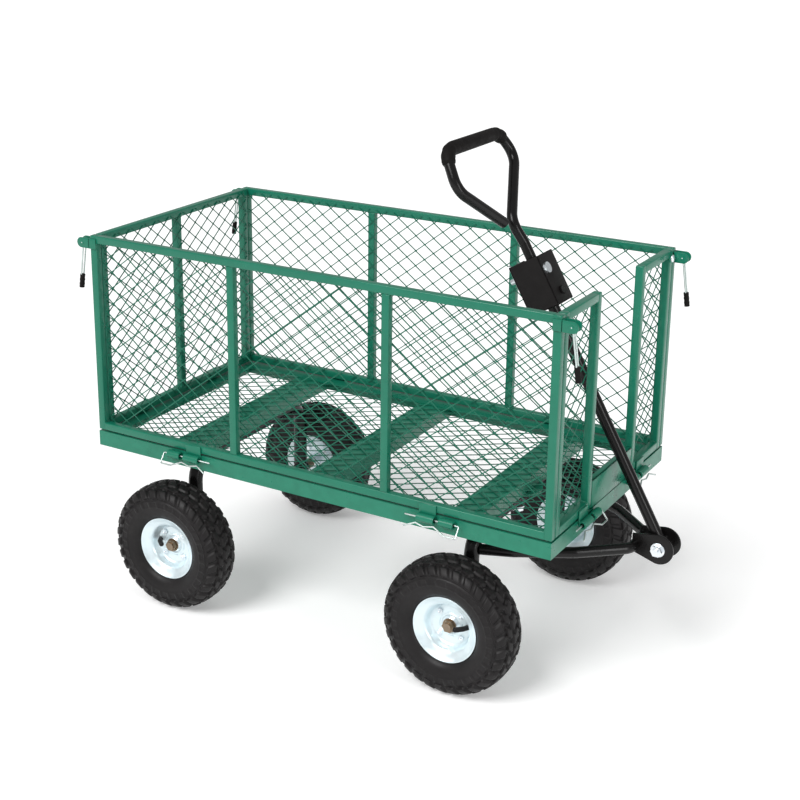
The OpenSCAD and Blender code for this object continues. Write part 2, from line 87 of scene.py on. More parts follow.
class Nodes:
    """A short way to make and link shader nodes."""

    def __init__(self, name):
        self.material = bpy.data.materials.new(name + "_look")
        self.material.use_nodes = True
        self.tree = self.material.node_tree
        self.shader = next(n for n in self.tree.nodes if n.type == "BSDF_PRINCIPLED")
        self.coords = self.add("ShaderNodeTexCoord").outputs["Object"]

    def add(self, kind, **inputs):
        node = self.tree.nodes.new(kind)
        for key, value in inputs.items():
            socket = node.inputs[key.replace("_", " ")]
            if isinstance(value, bpy.types.NodeSocket):
                self.tree.links.new(value, socket)
            else:
                socket.default_value = value
        return node

    def link(self, output, socket):
        self.tree.links.new(output, socket)

    def noise(self, scale, detail=3.0, rough=0.5):
        node = self.add(
            "ShaderNodeTexNoise", Vector=self.coords, Scale=scale, Detail=detail, Roughness=rough
        )
        return node.outputs["Fac"]

    def spread(self, value, low, high, start=0.3, end=0.7):
        """Maps start..end of a value to low..high, and holds it there outside."""
        node = self.tree.nodes.new("ShaderNodeMapRange")
        self.link(value, node.inputs["Value"])
        node.inputs["From Min"].default_value = start
        node.inputs["From Max"].default_value = end
        node.inputs["To Min"].default_value = low
        node.inputs["To Max"].default_value = high
        return node.outputs["Result"]

    def mix(self, fac, a, b):
        """The colour between a and b; each is a socket or red, green and blue."""
        node = self.tree.nodes.new("ShaderNodeMix")
        node.data_type = "RGBA"
        for value, socket in ((fac, node.inputs[0]), (a, node.inputs[6]), (b, node.inputs[7])):
            if isinstance(value, bpy.types.NodeSocket):
                self.link(value, socket)
            else:
                socket.default_value = (*value, 1) if isinstance(value, tuple) else value
        return node.outputs[2]

    def maths(self, operation, a, b=0.0):
        node = self.tree.nodes.new("ShaderNodeMath")
        node.operation = operation
        for value, socket in ((a, node.inputs[0]), (b, node.inputs[1])):
            if isinstance(value, bpy.types.NodeSocket):
                self.link(value, socket)
            else:
                socket.default_value = value
        return node.outputs[0]

    def bump(self, height, distance, strength=1.0, normal=None):
        node = self.add("ShaderNodeBump", Height=height, Distance=distance, Strength=strength)
        if normal:
            self.link(normal, node.inputs["Normal"])
        return node.outputs["Normal"]


def powder_coat(name, dark, light, roughness, coat, edge, specular):
    """Sprayed paint on steel: a slight orange peel, cloudy colour and a painted highlight on the edges."""
    n = Nodes(name)
    cloud = n.noise(9, 4)
    colour = n.mix(n.spread(cloud, 0, 1), dark, light)
    # Painted highlight: convex edges are mixed towards the lighter edge colour
    edge_highlight = n.spread(n.add("ShaderNodeNewGeometry").outputs["Pointiness"], 0, 0.35, 0.52, 0.6)
    colour = n.mix(n.maths("MULTIPLY", edge_highlight, n.spread(n.noise(60, 3), 0.3, 1.0)), colour, edge)
    specks = n.spread(n.noise(700, 2, 0.7), 0, 0.35, 0.66, 0.74)
    colour = n.mix(specks, colour, tuple(c * 0.6 for c in dark))
    n.link(colour, n.shader.inputs["Base Color"])
    n.link(n.spread(n.noise(35, 3), roughness - 0.05, roughness + 0.07), n.shader.inputs["Roughness"])
    peel = n.bump(n.noise(900, 2, 0.45), 0.00012, 0.5)
    n.link(n.bump(n.noise(45, 2), 0.0004, 0.25, peel), n.shader.inputs["Normal"])
    n.shader.inputs["Specular IOR Level"].default_value = specular
    n.shader.inputs["Coat Weight"].default_value = coat
    n.shader.inputs["Coat Roughness"].default_value = 0.18
    return n.material


def plated(name, tint, dull, roughness, grain=1.0, metallic=1.0):
    """Zinc plate: bright metal with cloudy spangle, faint stains and a fine grain."""
    n = Nodes(name)
    cells = n.add("ShaderNodeTexVoronoi", Vector=n.coords, Scale=160.0)
    cells.feature = "F1"
    spangle = n.spread(cells.outputs["Distance"], 0, 1, 0.0, 0.8)
    colour = n.mix(n.spread(n.noise(28, 4), 0, 1), tint, dull)
    colour = n.mix(n.maths("MULTIPLY", spangle, 0.12), colour, tuple(c * 0.75 for c in tint))
    stain = n.spread(n.noise(55, 5, 0.65), 0, 0.3, 0.6, 0.75)
    colour = n.mix(stain, colour, tuple(c * 0.62 for c in dull))
    n.link(colour, n.shader.inputs["Base Color"])
    n.link(n.spread(n.noise(80, 4), roughness - 0.06, roughness + 0.12), n.shader.inputs["Roughness"])
    n.link(n.bump(n.noise(400, 3), 0.00006, 0.25 * grain), n.shader.inputs["Normal"])
    n.shader.inputs["Metallic"].default_value = metallic
    return n.material


def tyre_rubber():
    """Moulded rubber: matt black, dusty in the low places, with a fine grain."""
    n = Nodes("tyre_rubber")
    colour = n.mix(n.spread(n.noise(14, 5), 0, 1), (0.0065, 0.0055, 0.0058), (0.0115, 0.0100, 0.0105))
    dust = n.spread(n.noise(90, 5, 0.65), 0, 0.35, 0.52, 0.75)
    colour = n.mix(dust, colour, (0.022, 0.020, 0.019))
    n.link(colour, n.shader.inputs["Base Color"])
    n.link(n.spread(n.noise(40, 4), 0.40, 0.56), n.shader.inputs["Roughness"])
    grain = n.bump(n.noise(1600, 2), 0.00015, 0.4)
    n.link(n.bump(n.noise(160, 3), 0.0003, 0.3, grain), n.shader.inputs["Normal"])
    n.shader.inputs["Specular IOR Level"].default_value = 0.24
    return n.material


def foam_grip():
    """Closed-cell foam sleeve: soft, dull, with small pores."""
    n = Nodes("grip_foam")
    colour = n.mix(n.spread(n.noise(30, 4), 0, 1), (0.0035, 0.0028, 0.0027), (0.0070, 0.0058, 0.0055))
    pores = n.add("ShaderNodeTexVoronoi", Vector=n.coords, Scale=900.0)
    pore_pit_and_shade = n.spread(pores.outputs["Distance"], 0, 1, 0.05, 0.35)
    # Painted shade: the pores are mixed towards a darker black, besides being bumped in
    colour = n.mix(n.maths("MULTIPLY", n.maths("SUBTRACT", 1.0, pore_pit_and_shade), 0.5), colour, (0.004, 0.004, 0.004))
    n.link(colour, n.shader.inputs["Base Color"])
    n.link(n.spread(n.noise(60, 3), 0.55, 0.75), n.shader.inputs["Roughness"])
    fine = n.bump(pore_pit_and_shade, 0.0003, 0.6)
    n.link(n.bump(n.noise(220, 3), 0.0005, 0.35, fine), n.shader.inputs["Normal"])
    n.shader.inputs["Specular IOR Level"].default_value = 0.14
    return n.material


# The fourth colour of each paint is the colour of its painted edge highlight
GREEN = powder_coat("green_paint", (0.003, 0.132, 0.078), (0.004, 0.150, 0.089), 0.30, 0.12,
                    (0.02, 0.26, 0.16), 0.36)
# Painted shade: the mesh sheets use a darker copy of the green paint
SHADED_MESH_GREEN = powder_coat("shaded_mesh_green_paint", (0.003, 0.094, 0.056), (0.004, 0.110, 0.065), 0.38, 0.0,
                         (0.01, 0.16, 0.10), 0.3)
BLACK = powder_coat("black_paint", (0.0030, 0.0027, 0.0027), (0.0050, 0.0045, 0.0045), 0.22, 0.0,
                    (0.022, 0.021, 0.021), 0.26)
MATTE = powder_coat("matte_black_paint", (0.0060, 0.0050, 0.0050), (0.0090, 0.0078, 0.0078), 0.45, 0.0,
                    (0.035, 0.033, 0.033), 0.14)
ZINC = plated("zinc_plate", (0.90, 0.94, 0.97), (0.82, 0.87, 0.91), 0.28)
RIM_PLATE = plated("rim_plate", (0.80, 0.90, 0.93), (0.72, 0.83, 0.87), 0.34, 0.3, 0.62)
WIRE_PLATE = plated("wire_plate", (0.66, 0.73, 0.71), (0.50, 0.57, 0.55), 0.32)
YELLOW = plated("yellow_zinc", (0.30, 0.23, 0.16), (0.18, 0.13, 0.09), 0.40)
AXLE_STEEL = plated("axle_steel", (0.34, 0.27, 0.20), (0.20, 0.155, 0.115), 0.42)
RUBBER = tyre_rubber()
FOAM = foam_grip()
SLOTS = {
    "green_paint": GREEN, "black_paint": BLACK, "matte_black_paint": MATTE, "zinc_plate": ZINC,
    "yellow_zinc": YELLOW, "tyre_rubber": RUBBER, "grip_foam": FOAM,
}


# ---- Mesh helpers ----

def spot(x, y, z):
    """A point given in millimetres from the basket's centre, on the ground."""
    return Vector((BASKET_X + x * MM, y * MM, z * MM))


def merge(target, part, matrix=None):
    """Adds one bmesh to another, turned by a matrix, and keeps its faces outwards."""
    if matrix is not None:
        bmesh.ops.transform(part, matrix=matrix, verts=part.verts)
        if matrix.determinant() < 0:
            bmesh.ops.reverse_faces(part, faces=part.faces)
    mesh = bpy.data.meshes.new("part")
    part.to_mesh(mesh)
    part.free()
    target.from_mesh(mesh)
    bpy.data.meshes.remove(mesh)


def add_box(target, low, high, bevel=1.5 * MM, segments=3, matrix=None):
    """A block with rounded edges."""
    part = bmesh.new()
    bmesh.ops.create_cube(part, size=1)
    low, high = Vector(low), Vector(high)
    size = high - low
    for v in part.verts:
        v.co = (v.co + Vector((0.5, 0.5, 0.5))) * size + low
    if bevel:
        bevel = min(bevel, min(size) * 0.45)
        bmesh.ops.bevel(
            part, geom=list(part.edges), offset=bevel, segments=segments, profile=0.5, affect="EDGES"
        )
    merge(target, part, matrix)


def frames_along(points):
    """Unit directions and sideways vectors along a line, without twist."""
    last = len(points) - 1
    tangents = [(points[min(i + 1, last)] - points[max(i - 1, 0)]).normalized() for i in range(last + 1)]
    side = tangents[0].orthogonal().normalized()
    sides = []
    for t in tangents:
        side = (side - t * side.dot(t)).normalized()
        sides.append(side.copy())
    return tangents, sides


def add_tube(target, points, radius, sides=24, round_ends=False, matrix=None):
    """A round tube along a line of points; radius may be a number or one number a point."""
    part = bmesh.new()
    points = [Vector(p) for p in points]
    radii = list(radius) if isinstance(radius, (list, tuple)) else [radius] * len(points)
    tangents, across = frames_along(points)
    if round_ends:
        steps = 5
        turns = [math.pi / 2 * k / steps for k in range(steps)]
        start = [points[0] - tangents[0] * radii[0] * math.cos(a) for a in turns]
        end = [points[-1] + tangents[-1] * radii[-1] * math.cos(a) for a in reversed(turns)]
        swell = [max(math.sin(a), 0.02) for a in turns]
        points = start + points + end
        radii = [radii[0] * k for k in swell] + radii + [radii[-1] * k for k in reversed(swell)]
        tangents = [tangents[0]] * steps + tangents + [tangents[-1]] * steps
        across = [across[0]] * steps + across + [across[-1]] * steps
    rings = []
    for p, r, t, s in zip(points, radii, tangents, across):
        up = t.cross(s)
        rings.append([
            part.verts.new(p + (s * math.cos(a) + up * math.sin(a)) * r)
            for a in (2 * math.pi * k / sides for k in range(sides))
        ])
    for low, high in zip(rings, rings[1:]):
        for k in range(sides):
            n = (k + 1) % sides
            part.faces.new((low[k], low[n], high[n], high[k]))
    part.faces.new(list(reversed(rings[0])))
    part.faces.new(rings[-1])
    merge(target, part, matrix)


def add_lathe(target, profile, steps=96, closed=True, matrix=None):
    """Turns a profile of (radius, distance along Y) about the Y axis."""
    part = bmesh.new()
    rings = []
    for k in range(steps):
        a = 2 * math.pi * k / steps
        rings.append([part.verts.new((r * math.cos(a), y, r * math.sin(a))) for r, y in profile])
    last = len(profile) if closed else len(profile) - 1
    for k in range(steps):
        here, there = rings[k], rings[(k + 1) % steps]
        for i in range(last):
            j = (i + 1) % len(profile)
            part.faces.new((here[i], here[j], there[j], there[i]))
    bmesh.ops.recalc_face_normals(part, faces=part.faces)
    merge(target, part, matrix)


def add_prism(target, outline, low, high, bevel=0.8 * MM, matrix=None):
    """A flat outline in XY pushed from z = low to z = high, with rounded rims."""
    part = bmesh.new()
    base = [part.verts.new((x, y, low)) for x, y in outline]
    face = part.faces.new(base)
    grown = bmesh.ops.extrude_face_region(part, geom=[face])["geom"]
    for v in grown:
        if isinstance(v, bmesh.types.BMVert):
            v.co.z = high
    bmesh.ops.recalc_face_normals(part, faces=part.faces)
    if bevel:
        rims = [e for e in part.edges if abs(e.verts[0].co.z - e.verts[1].co.z) < 1e-9]
        bmesh.ops.bevel(part, geom=rims, offset=bevel, segments=2, profile=0.5, affect="EDGES")
    merge(target, part, matrix)


def add_hex(target, across, low, high, matrix=None):
    """A hexagon nut or bolt head along Z, its corners chamfered."""
    corner = across / math.sqrt(3)
    outline = [(corner * math.cos(a), corner * math.sin(a)) for a in (math.pi / 3 * k for k in range(6))]
    add_prism(target, outline, low, high, 0.9 * MM, matrix)


def rounded_line(points, bend, steps=8):
    """A line of points with each corner replaced by an arc."""
    points = [Vector(p) for p in points]
    out = [points[0]]
    for before, here, after in zip(points, points[1:], points[2:]):
        d0 = (here - before).normalized()
        d1 = (after - here).normalized()
        turn = d0.angle(d1)
        if turn < 1e-3:
            out.append(here)
            continue
        cut = min(bend * math.tan(turn / 2), (here - before).length * 0.49, (after - here).length * 0.49)
        radius = cut / math.tan(turn / 2)
        start = here - d0 * cut
        axis = d0.cross(d1).normalized()
        centre = start + axis.cross(d0) * radius
        spoke = start - centre
        for k in range(steps + 1):
            out.append(centre + Matrix.Rotation(turn * k / steps, 3, axis) @ spoke)
    out.append(points[-1])
    return out


def weld_bead(target, start, end, radius=1.7 * MM, matrix=None, seed=1):
    """A rippled weld bead between two points."""
    rng = random.Random(seed)
    start, end = Vector(start), Vector(end)
    length = (end - start).length
    count = max(4, int(length / (1.6 * MM)))
    points = [start.lerp(end, k / count) for k in range(count + 1)]
    radii = [radius * (1 + 0.22 * math.sin(k * 2.4) + rng.uniform(-0.08, 0.08)) for k in range(count + 1)]
    add_tube(target, points, radii, 10, True, matrix)


def piece(name, body, bm, material, *replaced, slot=None, sharp=35):
    """Turns a bmesh into an object that rides on a body and stands for CAD nodes."""
    bm.normal_update()
    for f in bm.faces:
        f.smooth = True
    for e in bm.edges:
        if len(e.link_faces) == 2 and e.calc_face_angle(0) > math.radians(sharp):
            e.smooth = False
    mesh = bpy.data.meshes.new(name)
    bm.to_mesh(mesh)
    bm.free()
    obj = bpy.data.objects.new(name, mesh)
    bpy.context.scene.collection.objects.link(obj)
    mesh.materials.append(material)
    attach(obj, body)
    if replaced:
        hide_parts(*replaced)
    return obj


# ---- Expanded mesh ----

MESH_X = 41.0 * MM
MESH_Z = 31.5 * MM


def add_mesh_sheet(target, width, height, matrix, phase=(0.0, 0.0)):
    """Expanded-metal diamonds in the XZ plane: slim strands that meet in short flat knots."""
    part = bmesh.new()
    half_w, half_h = width / 2, height / 2
    strand = 0.9 * MM
    knot = 2.6 * MM

    def strand_between(a, b):
        """One strand, cut where it leaves the sheet."""
        t0, t1 = 0.0, 1.0
        d = b - a
        for k, limit in ((0, half_w), (1, half_h)):
            for sign in (-1, 1):
                p, q = sign * d[k], limit - sign * a[k]
                if abs(p) < 1e-12:
                    if q < 0:
                        return
                    continue
                t = q / p
                if p < 0:
                    t0 = max(t0, t)
                else:
                    t1 = min(t1, t)
        if t1 - t0 < 0.02:
            return
        start, end = a + d * t0, a + d * t1
        along = d.normalized()
        across = Vector((-along.y, along.x)) * strand
        # Expanding the sheet twists each strand, so it leans out of the plane at its ends
        lean = MESH_T * 0.28 * (1 if d.y > 0 else -1)
        ring = []
        for point, shift in ((start, -lean), (end, lean)):
            ring.append([
                part.verts.new((point.x + across.x * u, shift + MESH_T / 2 * v, point.y + across.y * u))
                for u, v in ((-1, -1), (1, -1), (1, 1), (-1, 1))
            ])
        for k in range(4):
            n = (k + 1) % 4
            part.faces.new((ring[0][k], ring[1][k], ring[1][n], ring[0][n]))
        part.faces.new(list(reversed(ring[1])))
        part.faces.new(ring[0])

    def knot_at(x, z):
        """The flat six-sided spot where four strands meet."""
        thick = MESH_T * 0.62
        flat = [(-knot, 0), (-knot * 0.4, -strand * 1.5), (knot * 0.4, -strand * 1.5),
                (knot, 0), (knot * 0.4, strand * 1.5), (-knot * 0.4, strand * 1.5)]
        low = [part.verts.new((x + u, -thick, z + v)) for u, v in flat]
        high = [part.verts.new((x + u, thick, z + v)) for u, v in flat]
        part.faces.new(low)
        part.faces.new(list(reversed(high)))
        for k in range(6):
            n = (k + 1) % 6
            part.faces.new((low[n], low[k], high[k], high[n]))

    cols = int(width / MESH_X) + 2
    rows = int(height / MESH_Z) + 2
    for i in range(-cols, cols + 1):
        for j in range(-rows, rows + 1):
            if (i + j) % 2:
                continue
            x = (i + phase[0]) * MESH_X / 2
            z = (j + phase[1]) * MESH_Z / 2
            here = Vector((x, z))
            for sx in (-1, 1):
                strand_between(here, Vector((x + sx * MESH_X / 2, z + MESH_Z / 2)))
            if abs(x) < half_w - knot and abs(z) < half_h - knot:
                knot_at(x, z)
    bmesh.ops.recalc_face_normals(part, faces=part.faces)
    merge(target, part, matrix)


# ---- Panels ----

def to_world(origin, u, v):
    """A matrix from a panel's own axes (along, inwards, up) to the frame."""
    m = Matrix.Identity(4)
    for row in range(3):
        m[row][0], m[row][1], m[row][2], m[row][3] = u[row], v[row], (0, 0, 1)[row], origin[row]
    return m


RIGHT = to_world(Vector((BASKET_X, -HALF_W, 0)), (1, 0, 0), (0, 1, 0))
LEFT = to_world(Vector((BASKET_X, HALF_W, 0)), (1, 0, 0), (0, -1, 0))
REAR = to_world(Vector((BASKET_X - HALF_L, 0, 0)), (0, 1, 0), (1, 0, 0))
FRONT = to_world(Vector((BASKET_X + HALF_L, 0, 0)), (0, 1, 0), (-1, 0, 0))
# Where the two barrels of a hinge start and end along its clip, from the clip's bend
DECK_BARREL = (7 * MM, 35 * MM)
PANEL_BARREL = (45 * MM, 79 * MM)


def add_bars(bm, x0, x1, posts, matrix):
    """The square tubes of a panel: full-height posts with rails between them, and their welds."""
    z0, z1 = PANEL_BOTTOM, PANEL_TOP
    ends = [x0 + BAR / 2, x1 - BAR / 2]
    for x in ends + posts:
        foot = z0 if x in ends else z0 + BAR
        head = z1 if x in ends else z1 - BAR
        add_box(bm, (x - BAR / 2, 0, foot), (x + BAR / 2, BAR, head), 2.0 * MM, 3, matrix)
    for z in (z0, z1 - BAR):
        add_box(bm, (x0 + BAR - 1.5 * MM, 0, z), (x1 - BAR + 1.5 * MM, BAR, z + BAR), 2.0 * MM, 3, matrix)
    seed = 3
    for x in ends + posts:
        for z, up in ((z0 + BAR, 1), (z1 - BAR, -1)):
            for side in (-1, 1):
                edge = x + side * BAR / 2
                if (x == ends[0] and side < 0) or (x == ends[1] and side > 0):
                    continue
                seed += 1
                height = z + up * 0.2 * MM
                for y in (1.2 * MM, BAR - 1.2 * MM):
                    weld_bead(bm, (edge, y, height), (edge, BAR / 2, height), 1.3 * MM, matrix, seed)


def hinge_matrix(edge, pos):
    """From a hinge's own axes (along from the clip's bend, outwards, up) to the frame."""
    sign = -1 if pos > 0 else 1
    if edge in ("right", "left"):
        out = -1 if edge == "right" else 1
        origin = Vector((BASKET_X + pos, out * (HALF_W + HINGE_OUT), HINGE_Z))
        return to_world(origin, (sign, 0, 0), (0, out, 0))
    out = 1 if edge == "front" else -1
    origin = Vector((BASKET_X + out * (HALF_L + HINGE_OUT), pos, HINGE_Z))
    # The gates' clips point outwards from the middle, the others point to it
    sign = -sign if edge == "front" else sign
    return to_world(origin, (0, sign, 0), (out, 0, 0))


def add_barrel(bm, ends, matrix, leaf_up):
    """A rolled sheet barrel with the leaf that joins it to the deck or to the panel."""
    x0, x1 = ends
    outer, inner, chamfer = 7.8 * MM, 4.6 * MM, 0.8 * MM
    wall = [
        (inner, x0), (outer - chamfer, x0), (outer, x0 + chamfer),
        (outer, x1 - chamfer), (outer - chamfer, x1), (inner, x1),
    ]
    add_lathe(bm, wall, 32, True, matrix @ Matrix.Rotation(-math.pi / 2, 4, "Z"))
    if leaf_up:
        add_box(bm, (x0, -8.1 * MM, -1 * MM), (x1, -4.8 * MM, 25 * MM), 1.2 * MM, 3, matrix)
    else:
        add_box(bm, (x0, -8.4 * MM, -8 * MM), (x1, -2.0 * MM, -4.4 * MM), 1.0 * MM, 2, matrix)


def add_ears(bm, end, matrix):
    """The latch bracket on one end of a side panel."""
    tip = HALF_L + LATCH_OUT + 12 * MM
    r = 10 * MM
    plate = 2.5 * MM
    rivet = [(0.01 * MM, -0.5 * MM), (3.4 * MM, -0.5 * MM), (3.4 * MM, 0.3 * MM), (0.01 * MM, 0.3 * MM)]
    for y in (-plate, 12 * MM):
        root = HALF_L - (BAR if y < 0 else 0)
        outline = [(root, LATCH_Z - r), (tip - r, LATCH_Z - r)]
        angles = [math.pi * k / 12 for k in range(1, 12)]
        outline += [(tip - r + r * math.sin(a), LATCH_Z - r * math.cos(a)) for a in angles]
        outline += [(tip - r, LATCH_Z + r), (root, LATCH_Z + r)]
        turn = Matrix(((end, 0, 0, 0), (0, 0, 1, 0), (0, 1, 0, 0), (0, 0, 0, 1)))
        add_prism(bm, outline, y, y + plate, 0.6 * MM, matrix @ turn)
        head = (end * (HALF_L + LATCH_OUT), y + (2.7 if y > 0 else -0.2) * MM, LATCH_Z)
        add_lathe(bm, rivet, 20, True, matrix @ Matrix.Translation(head))
    low, high = sorted((end * HALF_L, end * (HALF_L + plate)))
    add_box(bm, (low, -plate, LATCH_Z - r), (high, 14.5 * MM, LATCH_Z + r), 0.6 * MM, 2, matrix)


# Where the hinges' clip bends and the side panels' middle posts stand
SIDE_HINGE, REAR_HINGE, GATE_HINGE = 316 * MM, 180 * MM, 69 * MM
MID_POST = 162.7 * MM
# How far a sheet stops short of its panel's ends
SIDE_MESH_INSET = 18 * MM
END_MESH_INSET = 7 * MM
END_HALF = HALF_W - BAR - 1.5 * MM
GATE_IN = 92 * MM
STUD_Y = END_HALF - BAR / 2


def add_panel_mesh(name, matrix, centre, width, phase):
    """The sheet of a panel, behind its bars."""
    sheet = bmesh.new()
    place = matrix @ Matrix.Translation((centre, BAR + MESH_T * 0.7, (PANEL_BOTTOM + PANEL_TOP) / 2))
    add_mesh_sheet(sheet, width, PANEL_TOP - PANEL_BOTTOM - BAR, place, phase)
    # The sheet takes the darker mesh paint, which is painted shade
    piece(f"{name}_mesh_visual", name, sheet, SHADED_MESH_GREEN, f"{name}_mesh", slot="green_paint")


def side_panel(side, matrix, phase):
    """A long panel with its latch brackets, two hinges and mesh."""
    bm = bmesh.new()
    add_bars(bm, -HALF_L, HALF_L, [-MID_POST, MID_POST], matrix)
    for end in (-1, 1):
        add_ears(bm, end, matrix)
        add_barrel(bm, PANEL_BARREL, hinge_matrix(side, end * SIDE_HINGE), True)
    piece(f"{side}_panel_frame_visual", f"{side}_panel", bm, GREEN, f"{side}_panel_frame")
    add_panel_mesh(f"{side}_panel", matrix, 0, 2 * (HALF_L - SIDE_MESH_INSET), phase)


def add_stud(bm, x, matrix):
    """A domed bolt head with its washer."""
    profile = [
        (0.01, -7), (2.6, -6.8), (5.2, -6.0), (6.8, -4.4),
        (7.0, -3.4), (7.0, -2.6), (6.0, -2.0), (0.01, -2.0),
    ]
    place = matrix @ Matrix.Translation((x, 0, LATCH_Z))
    add_lathe(bm, [(r * MM, y * MM) for r, y in profile], 32, True, place)


def add_tab(bm, x, matrix):
    """The round pad under a stud."""
    profile = [(0.01, -2), (8.4, -2), (9, -1.4), (9, 0.2), (0.01, 0.2)]
    place = matrix @ Matrix.Translation((x, 0, LATCH_Z))
    add_lathe(bm, [(r * MM, y * MM) for r, y in profile], 32, True, place)


def end_panel(name, matrix, x0, x1, posts, studs, hinges, edge, phase):
    """The rear panel or a front gate, with its studs, hinges and mesh."""
    bm = bmesh.new()
    add_bars(bm, x0, x1, posts, matrix)
    for x in studs:
        add_tab(bm, x, matrix)
    for pos in hinges:
        add_barrel(bm, PANEL_BARREL, hinge_matrix(edge, pos), True)
    piece(f"{name}_frame_visual", name, bm, GREEN, f"{name}_frame")
    add_panel_mesh(name, matrix, (x0 + x1) / 2, x1 - x0 - 2 * END_MESH_INSET, phase)
    bolts = bmesh.new()
    for x in studs:
        add_stud(bolts, x, matrix)
    node = "rear_panel_studs" if name == "rear_panel" else f"{name}_stud"
    piece(f"{node}_visual", name, bolts, ZINC, node)


side_panel("right", RIGHT, (0.0, 0.0))
side_panel("left", LEFT, (0.3, 0.4))
end_panel("rear_panel", REAR, -END_HALF, END_HALF, [0.0], [-STUD_Y, STUD_Y],
          [-REAR_HINGE, REAR_HINGE], "rear", (0.5, 0.2))
end_panel("left_gate", FRONT, GATE_IN, END_HALF, [], [STUD_Y], [GATE_HINGE], "front", (0.0, 0.3))
end_panel("right_gate", FRONT, -END_HALF, -GATE_IN, [], [-STUD_Y], [-GATE_HINGE], "front", (0.0, 0.3))


# ---- Deck ----

def deck_mesh():
    """The load floor's sheet, inside the deck's flange."""
    sheet = bmesh.new()
    flat = Matrix.Translation((BASKET_X, 0, DECK_TOP - 1.4 * MM)) @ Matrix.Rotation(-math.pi / 2, 4, "X")
    add_mesh_sheet(sheet, 2 * (HALF_L - DECK_FLANGE), 2 * (HALF_W - DECK_FLANGE), flat)
    # The deck's sheet takes the darker mesh paint, which is painted shade
    piece("deck_mesh_visual", "chassis", sheet, SHADED_MESH_GREEN, "deck_mesh", slot="green_paint")


def hinges():
    """The deck's knuckles, and the spring clips that serve as the hinge pins."""
    knuckles, clips = bmesh.new(), bmesh.new()
    # A clip's straight leg is the pin, and its other leg waves back beside it: (along, aside)
    path = [(103, 0), (-3, 0), (-3, 22), (20, 22), (43, 11), (61, 15), (79, 11), (99, 21)]
    dip = math.radians(52)
    wire = [(u * MM, t * math.cos(dip) * MM, -t * math.sin(dip) * MM) for u, t in path]
    wire = rounded_line(wire, 1.8 * MM, 4)
    spots = [("right", SIDE_HINGE), ("left", SIDE_HINGE), ("rear", REAR_HINGE), ("front", GATE_HINGE)]
    for edge, pos in spots:
        for sign in (-1, 1):
            m = hinge_matrix(edge, sign * pos)
            add_barrel(knuckles, DECK_BARREL, m, False)
            add_tube(clips, wire, 1.5 * MM, 14, True, m)
    piece("deck_hinge_knuckles_visual", "chassis", knuckles, GREEN, "deck_hinge_knuckles")
    piece("hinge_clips_visual", "chassis", clips, WIRE_PLATE, "hinge_clips", slot="zinc_plate")


def front_sill():
    """The folded plate between the gates, on two screws."""
    sill = bmesh.new()
    face = BASKET_X + HALF_L
    top = DECK_TOP + 54 * MM
    half = 90 * MM
    plate = 3 * MM
    lip = 12 * MM
    add_box(sill, (face - plate, -half, DECK_TOP), (face, half, top), 0.9 * MM, 2)
    add_box(sill, (face - lip, -half, top - 2.5 * MM), (face, half, top), 0.9 * MM, 2)
    add_box(sill, (face - lip, -half, top - lip), (face - lip + 2 * MM, half, top), 0.8 * MM, 2)
    add_box(sill, (face - 18 * MM, -half, DECK_TOP), (face, half, DECK_TOP + plate), 0.9 * MM, 2)
    for y in (-60 * MM, 60 * MM):
        place = Matrix.Translation((face - 11 * MM, y, DECK_TOP + plate))
        add_hex(sill, 8 * MM, 0, 3.5 * MM, place)
    piece("front_sill_visual", "chassis", sill, GREEN, "front_sill")


deck_mesh()
hinges()
front_sill()


# ---- Latch bails ----

def bail(corner):
    """A wire latch with its rubber sleeve, hung on the ears of a side panel."""
    front = 1 if "front" in corner else -1
    left = 1 if "left" in corner else -1
    origin = Matrix.Translation(joint_place(f"{corner}_bail_swing"))
    m = origin @ Matrix.Diagonal((front, left, 1, 1))
    wire = bmesh.new()
    points = [(0, -8.5, 0), (0, -4, 0), (10, -3.4, -68), (11, -2.2, -76)]
    for sign in (-1, 1):
        line = [(x * MM, -sign * y * MM, z * MM) for x, y, z in points]
        add_tube(wire, rounded_line(line, 3 * MM, 6), 1.5 * MM, 14, True, m)
    body = f"{corner}_bail"
    node = f"{corner}_latch_bail"
    piece(f"{node}_wire", body, wire, WIRE_PLATE, node, slot="zinc_plate")
    sleeve = bmesh.new()
    a, b = Vector((9.4, 0, -66)) * MM, Vector((13, 0, -92)) * MM
    line = [a.lerp(b, k / 12) for k in range(13)]
    radii = [5.0 * MM + 0.35 * MM * math.sin(k * 1.6) * (1 if 1 < k < 11 else 0) for k in range(13)]
    add_tube(sleeve, line, radii, 24, False, m)
    piece(f"{node}_sleeve", body, sleeve, FOAM)


for corner in CORNERS:
    bail(corner)


# ---- Handle ----

HANDLE = Matrix.Translation(PIVOT) @ Matrix.Rotation(-LEAN, 4, "Y")
# Corners of the D handle's centre line: (across, up the handle), in millimetres
D_PATH = [(0, 480), (0, 595), (-10, 636), (104, 744), (84, 793), (-120, 793), (-139, 722), (-36, 639)]
D_BEND = 35 * MM


def handle_tube():
    """The lower tube with the barrel at its foot and the weld between them."""
    tube = bmesh.new()
    line = [(0, 0, s * MM) for s in (12, 100, 300, 475)]
    add_tube(tube, line, 10.5 * MM, 32, False, HANDLE)
    barrel = [(6.1, -16.5), (12.8, -16.5), (13.9, -15.4), (13.9, 15.4), (12.8, 16.5), (6.1, 16.5)]
    add_lathe(tube, [(r * MM, y * MM) for r, y in barrel], 48, True, HANDLE)
    ring = [Vector((10.2 * math.cos(a), 10.2 * math.sin(a), 12.6 + 1.6 * abs(math.sin(a)))) * MM
            for a in (2 * math.pi * k / 40 for k in range(41))]
    add_tube(tube, ring, 1.8 * MM, 10, False, HANDLE)
    piece("handle_tube_visual", "handle", tube, BLACK, "handle_tube")


